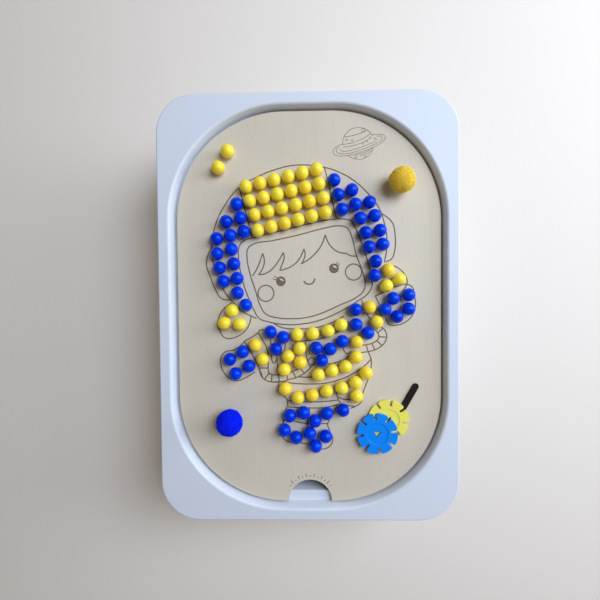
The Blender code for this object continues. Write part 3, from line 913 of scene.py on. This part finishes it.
def pompom_tree():
    """A ball of short fibres on a round core, pressed a little out of shape."""
    t = geometry_tree(
        "pompom",
        ("Radius", "Float", 0.0125),
        ("Core Share", "Float", POMPOM_CORE),
        ("Fibres", "Int", POMPOM_FIBRES),
        ("Fibre Width", "Float", FIBRE_WIDTH),
        ("Seed", "Int", 1),
        ("Material", "Material", None),
    )
    given = t.node("NodeGroupInput")
    read = {socket.name: Out(t, socket) for socket in given.outputs}
    inner = read["Radius"] * read["Core Share"]
    core = t.add("GeometryNodeMeshIcoSphere", None, {"Radius": inner, "Subdivisions": 4})
    density = read["Fibres"] / (4.0 * math.pi * inner * inner)
    scatter = t.node(
        "GeometryNodeDistributePointsOnFaces",
        None,
        {"Mesh": core, "Density": density, "Seed": read["Seed"]},
    )
    points = Out(t, scatter.outputs["Points"])
    outward = Out(t, scatter.outputs["Normal"])
    lean = t.add(
        "FunctionNodeRandomValue",
        {"data_type": "FLOAT_VECTOR"},
        {"Min": (-FIBRE_LEAN,) * 3, "Max": (FIBRE_LEAN,) * 3, "Seed": read["Seed"] + 3.0},
    )
    way = t.add("ShaderNodeVectorMath", {"operation": "ADD"}, {0: outward, 1: lean})
    rotation = t.add("FunctionNodeAlignRotationToVector", {"axis": "Z"}, {"Vector": way})
    length = read["Radius"] * (1.0 - read["Core Share"])
    fibre = t.add(
        "GeometryNodeMeshCone",
        None,
        {
            "Vertices": 4,
            "Side Segments": 2,
            "Radius Top": read["Fibre Width"] * 0.32,
            "Radius Bottom": read["Fibre Width"] * 0.5,
            "Depth": length,
        },
    )
    vary = t.random(read["Seed"] + 5.0, 0.55)
    size = t.add("ShaderNodeCombineXYZ", None, {0: 1.0, 1: 1.0, 2: vary})
    hair = t.add(
        "GeometryNodeInstanceOnPoints",
        None,
        {"Points": points, "Instance": fibre, "Rotation": rotation, "Scale": size},
    )
    shade = t.random(read["Seed"] + 9.0)
    hair = t.add(
        "GeometryNodeStoreNamedAttribute",
        {"data_type": "FLOAT", "domain": "INSTANCE"},
        {"Geometry": hair, "Name": "shade", "Value": shade},
    )
    joined = t.node("GeometryNodeJoinGeometry")
    for part in (core, hair):
        t.tree.links.new(part.socket, joined.inputs[0])
    solid = t.add("GeometryNodeRealizeInstances", None, {"Geometry": Out(t, joined.outputs[0])})
    place = t.add("GeometryNodeInputPosition")
    reach = t.add("ShaderNodeVectorMath", {"operation": "LENGTH"}, {0: place}, "Value")
    # How far out along the fibres a point lies; the wool finish uses it for painted shade towards
    # the roots
    tip = (reach / read["Radius"]).between(read["Core Share"], 1.0)
    solid = t.add(
        "GeometryNodeStoreNamedAttribute",
        {"data_type": "FLOAT", "domain": "POINT"},
        {"Geometry": solid, "Name": "tip", "Value": tip},
    )
    lump = t.add(
        "ShaderNodeTexNoise", None, {"Vector": place, "Scale": 130.0, "Detail": 1.0}, "Fac"
    )
    share = lump * 0.14 + 0.90
    pressed = t.add("ShaderNodeVectorMath", {"operation": "SCALE"}, {0: place, "Scale": share})
    solid = t.add("GeometryNodeSetPosition", None, {"Geometry": solid, "Position": pressed})
    smooth = t.add("GeometryNodeSetShadeSmooth", None, {"Geometry": solid, "Shade Smooth": True})
    done = t.add(
        "GeometryNodeSetMaterial", None, {"Geometry": smooth, "Material": read["Material"]}
    )
    t.node("NodeGroupOutput", None, {0: done})
    return t


def make_pompom(node, tree, material):
    low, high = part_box(node)
    radius = (high.z - low.z) / 2
    mesh = bpy.data.meshes.new(node + "_tuft")
    mesh.from_pydata([(0.0, 0.0, 0.0)], [], [])
    pompom = piece(node + "_tuft", mesh, material)
    grown(pompom, tree, Radius=radius, Seed=POMPOM_SEEDS[node], Material=material)
    pompom.data.transform(Matrix.Translation((low + high) / 2))
    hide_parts(node)
    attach(pompom, node)


# ---------------------------------------------------------------- discs and stick

def disc_outline():
    """Round disc with radial slots; each slot has a round bottom and a flared mouth."""
    points = []
    half_slot = SLOT_WIDTH / 2
    mouth = half_slot + SLOT_MOUTH_ROUND
    bottom = DISC_RADIUS - SLOT_DEPTH + half_slot
    inner = DISC_RADIUS - SLOT_MOUTH_ROUND
    shoulder = math.sqrt(inner ** 2 - mouth ** 2)
    lean = math.degrees(math.asin(mouth / inner))
    pitch = 360.0 / DISC_SLOTS
    for slot in range(DISC_SLOTS):
        local = arc((shoulder, -mouth), SLOT_MOUTH_ROUND, -lean, 90.0, 8)
        local += arc((bottom, 0.0), half_slot, 270.0, 90.0, 10)
        local += arc((shoulder, mouth), SLOT_MOUTH_ROUND, -90.0, lean, 8)
        local += arc((0.0, 0.0), DISC_RADIUS, lean, pitch - lean, 10)[1:-1]
        turn = Matrix.Rotation(math.radians(slot * pitch), 2)
        points += [tuple(turn @ Vector(point)) for point in local]
    return points


def hole_outline():
    """Three-pointed star, its points turned from the slots."""
    points = []
    for corner in range(6):
        radius = HOLE_HOLLOW_RADIUS if corner % 2 else HOLE_POINT_RADIUS
        angle = math.radians(HOLE_TURN - 60.0 * corner)
        points.append((radius * math.cos(angle), radius * math.sin(angle)))
    return points


def make_disc(node, material):
    """A slotted disc with a round recess and a three-pointed hole, lying as its solid lies."""
    plate = flat_plate(node, [disc_outline(), hole_outline()], DISC_THICKNESS)
    disc = piece(node + "_plate", plate, material)
    cutters = []
    for height in (DISC_THICKNESS, 0.0):
        bm = bmesh.new()
        bmesh.ops.create_cone(
            bm,
            cap_ends=True,
            segments=96,
            radius1=RECESS_RADIUS,
            radius2=RECESS_RADIUS,
            depth=2.0 * RECESS_DEPTH,
            matrix=Matrix.Translation((0.0, 0.0, height)),
        )
        mesh = bpy.data.meshes.new("recess")
        bm.to_mesh(mesh)
        bm.free()
        cutters.append(piece("recess", mesh, material))
        cut = disc.modifiers.new("recess", "BOOLEAN")
        cut.operation = "DIFFERENCE"
        cut.object = cutters[-1]
    rounded_edges(disc, DISC_EDGE, 3, OUTLINE_BEND)
    for cutter in cutters:
        bpy.data.objects.remove(cutter, do_unlink=True)
    smoothed(disc.data, 35.0)

    low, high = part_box(node)
    solid = frame["nodes"][node].data
    up = max((p for p in solid.polygons if p.normal.z > 0.5), key=lambda p: p.area).normal
    lean = Vector((0.0, 0.0, 1.0)).rotation_difference(up).to_matrix().to_4x4()
    turn = Matrix.Rotation(math.radians(DISC_TURN[node]), 4, "Z")
    centre = Matrix.Translation((low + high) / 2)
    disc.data.transform(Matrix.Translation((0.0, 0.0, -DISC_THICKNESS / 2)))
    disc.data.transform(centre @ lean @ turn)
    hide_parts(node)
    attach(disc, node)


def make_stick(material):
    low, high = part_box("stick")
    half = STICK_WIDTH / 2
    reach = STICK_LENGTH / 2 - half
    outline = arc((reach, 0.0), half, -90.0, 90.0, 24)
    outline += arc((-reach, 0.0), half, 90.0, 270.0, 24)
    stick = piece("flat_stick", flat_plate("flat_stick", [outline], high.z - low.z), material)
    rounded_edges(stick, STICK_EDGE, 3, OUTLINE_BEND)
    middle = (low + high) / 2
    turn = Matrix.Rotation(math.radians(STICK_HEADING), 4, "Z")
    stick.data.transform(Matrix.Translation((middle.x, middle.y, low.z)) @ turn)
    smoothed(stick.data, 35.0)
    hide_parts("stick")
    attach(stick, "stick")


# ---------------------------------------------------------------- studio

def soft_light(name, direction, distance, width, height, power):
    """A rectangular light, aimed at the tray from the given direction."""
    data = bpy.data.lights.new(name, "AREA")
    data.shape = "RECTANGLE"
    data.size = width
    data.size_y = height
    data.energy = power
    data.color = DAYLIGHT
    light = bpy.data.objects.new(name, data)
    bpy.context.scene.collection.objects.link(light)
    away = Vector(direction).normalized()
    light.location = away * distance + Vector(LIGHT_AIM)
    light.rotation_euler = away.to_track_quat("Z", "Y").to_euler()


def make_studio():
    scene = bpy.context.scene
    bm = bmesh.new()
    bmesh.ops.create_grid(bm, x_segments=1, y_segments=1, size=FLOOR_REACH)
    mesh = bpy.data.meshes.new("floor")
    bm.to_mesh(mesh)
    bm.free()
    piece("floor", mesh, floor_paint())

    world = bpy.data.worlds.new("studio")
    world.use_nodes = True
    # Pale walls, dimmer towards the ceiling
    t = Tree(world.node_tree)
    way = t.add("ShaderNodeTexCoord", out="Generated")
    up = t.add("ShaderNodeSeparateXYZ", None, {0: way}, "Z").between(0.02, 0.50)
    shades = {0: up, 6: WALL_SHADE, 7: CEILING_SHADE}
    walls = t.add("ShaderNodeMix", {"data_type": "RGBA"}, shades, out=2)
    t.tree.links.new(walls.socket, world.node_tree.nodes["Background"].inputs["Color"])
    scene.world = world
    scene.view_settings.view_transform = "Standard"
    for name, values in LIGHTS.items():
        soft_light(name, *values)

    data = bpy.data.cameras.new("camera")
    data.lens = CAMERA_LENS
    data.sensor_width = CAMERA_SENSOR
    camera = bpy.data.objects.new("camera", data)
    camera.location = CAMERA_PLACE
    camera.rotation_euler = [math.radians(a) for a in CAMERA_TURN]
    scene.collection.objects.link(camera)
    scene.camera = camera


# ---------------------------------------------------------------- the whole object

def main():
    make_studio()
    make_tray(tray_plastic())
    make_board(board_plywood(), board_scorch())

    finishes = {
        "bead_yellow": bead_plastic(
            "bead_yellow",
            colour(1.0, 0.82, 0.048),
            colour(1.0, 0.68, 0.026),
            0.30,
            colour(1.0, 0.95, 0.75),
        ),
        "bead_blue": bead_plastic(
            "bead_blue",
            colour(0.0, 0.034, 0.74),
            colour(0.0, 0.018, 0.60),
            0.28,
            colour(0.10, 0.62, 1.0),
        ),
        "pompom_yellow": pompom_wool(
            "pompom_yellow", colour(1.0, 0.88, 0.14), colour(1.0, 0.69, 0.07), 0.05
        ),
        "pompom_blue": pompom_wool(
            "pompom_blue", colour(0.0, 0.04, 1.0), colour(0.0, 0.008, 0.80), 0.2
        ),
        "disc_yellow": disc_plastic(
            "disc_yellow", colour(0.96, 0.88, 0.140), colour(0.90, 0.82, 0.120)
        ),
        "disc_blue": disc_plastic(
            "disc_blue", colour(0.0, 0.275, 0.94), colour(0.0, 0.245, 0.89)
        ),
    }
    slots = {row["node"]: row["material_slot"] for row in frame["record"]["subparts"]}
    bodies = frame["record"]["behaviour"]["bodies"]
    strings = bead_tree()
    for seed, (body, nodes) in enumerate(sorted(bodies.items())):
        for offset, node in enumerate(sorted(nodes)):
            slot = slots[node]
            if slot.startswith("bead"):
                make_beads(node, body, strings, finishes[slot], 11 * seed + offset)
    tufts = pompom_tree()
    make_pompom("yellow_pompom", tufts, finishes["pompom_yellow"])
    make_pompom("blue_pompom", tufts, finishes["pompom_blue"])
    make_disc("yellow_disc", finishes["disc_yellow"])
    make_disc("blue_disc", finishes["disc_blue"])
    make_stick(stick_black())


main()

bpy.context.view_layer.update()
